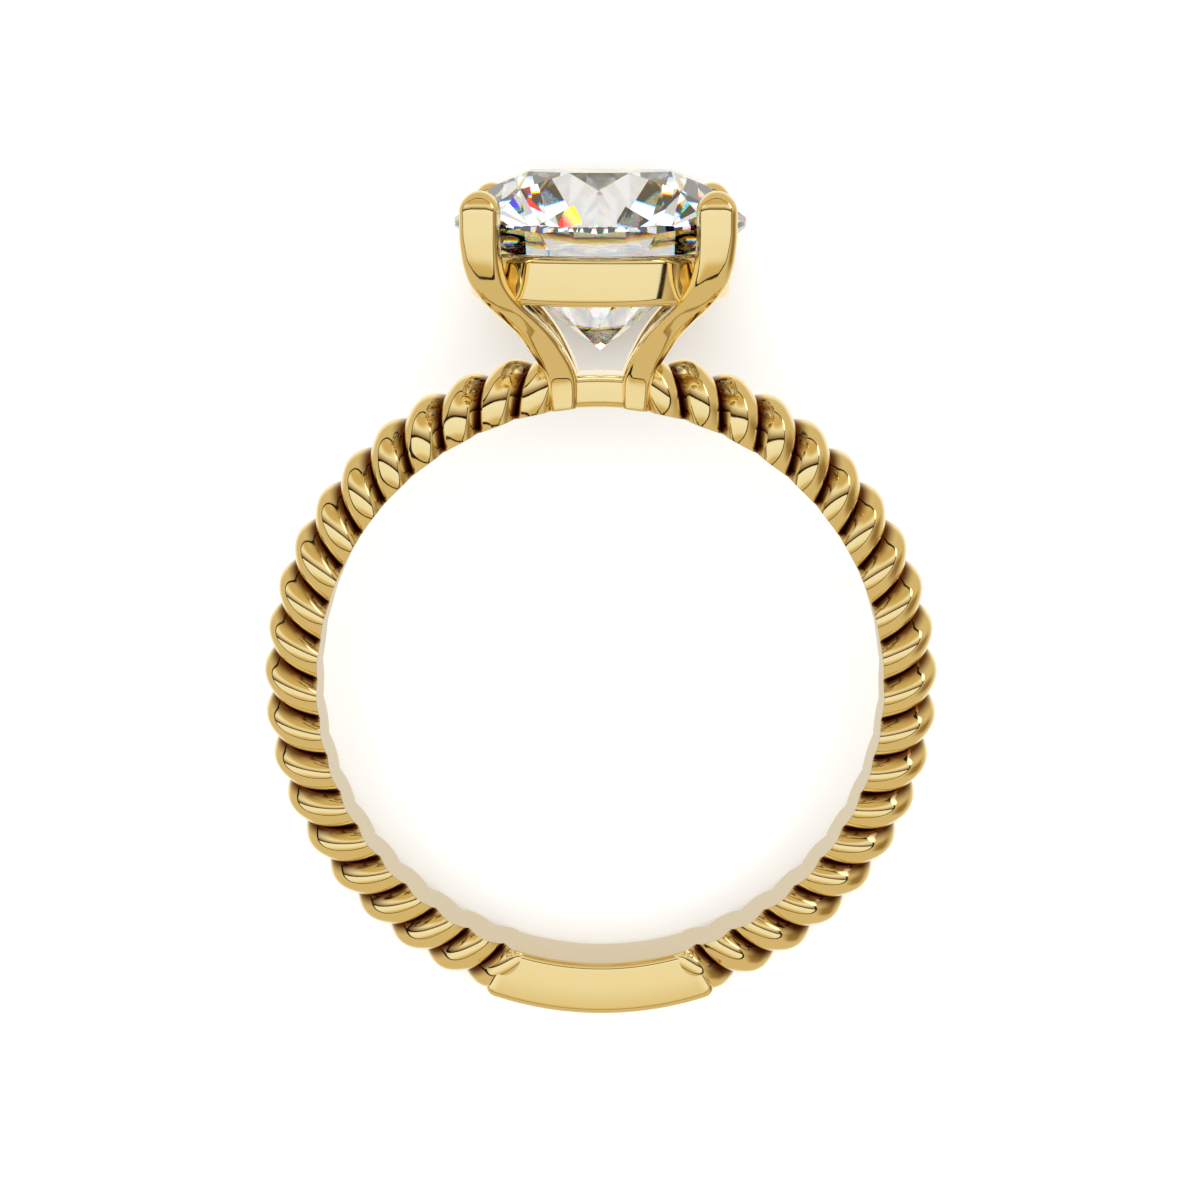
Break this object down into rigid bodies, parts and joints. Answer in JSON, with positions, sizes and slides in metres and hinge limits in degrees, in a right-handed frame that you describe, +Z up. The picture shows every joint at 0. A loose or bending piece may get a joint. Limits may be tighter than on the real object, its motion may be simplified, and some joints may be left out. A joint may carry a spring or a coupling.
{
  "type": "twisted shank ring",
  "caption": "Finger ring with a two-strand rope shank, a plain bottom plate and a four-prong basket head with a gallery ring holding one round brilliant stone.",
  "frame": {"origin": "on the surface that the ring lies on, under the middle of its box", "axes": "+Z up from the surface, +Y from the bottom plate towards the head, +X across the ring; the ring lies on its back and its bore axis leans 7.56 degrees from +Z"},
  "size_m": [0.0208, 0.0262, 0.0087],
  "materials": {
    "gold": "polished yellow gold",
    "stone": "clear polished brilliant cut"
  },
  "bodies": {
    "root": {"ring": "gold", "stone": "stone"}
  },
  "joints": []
}
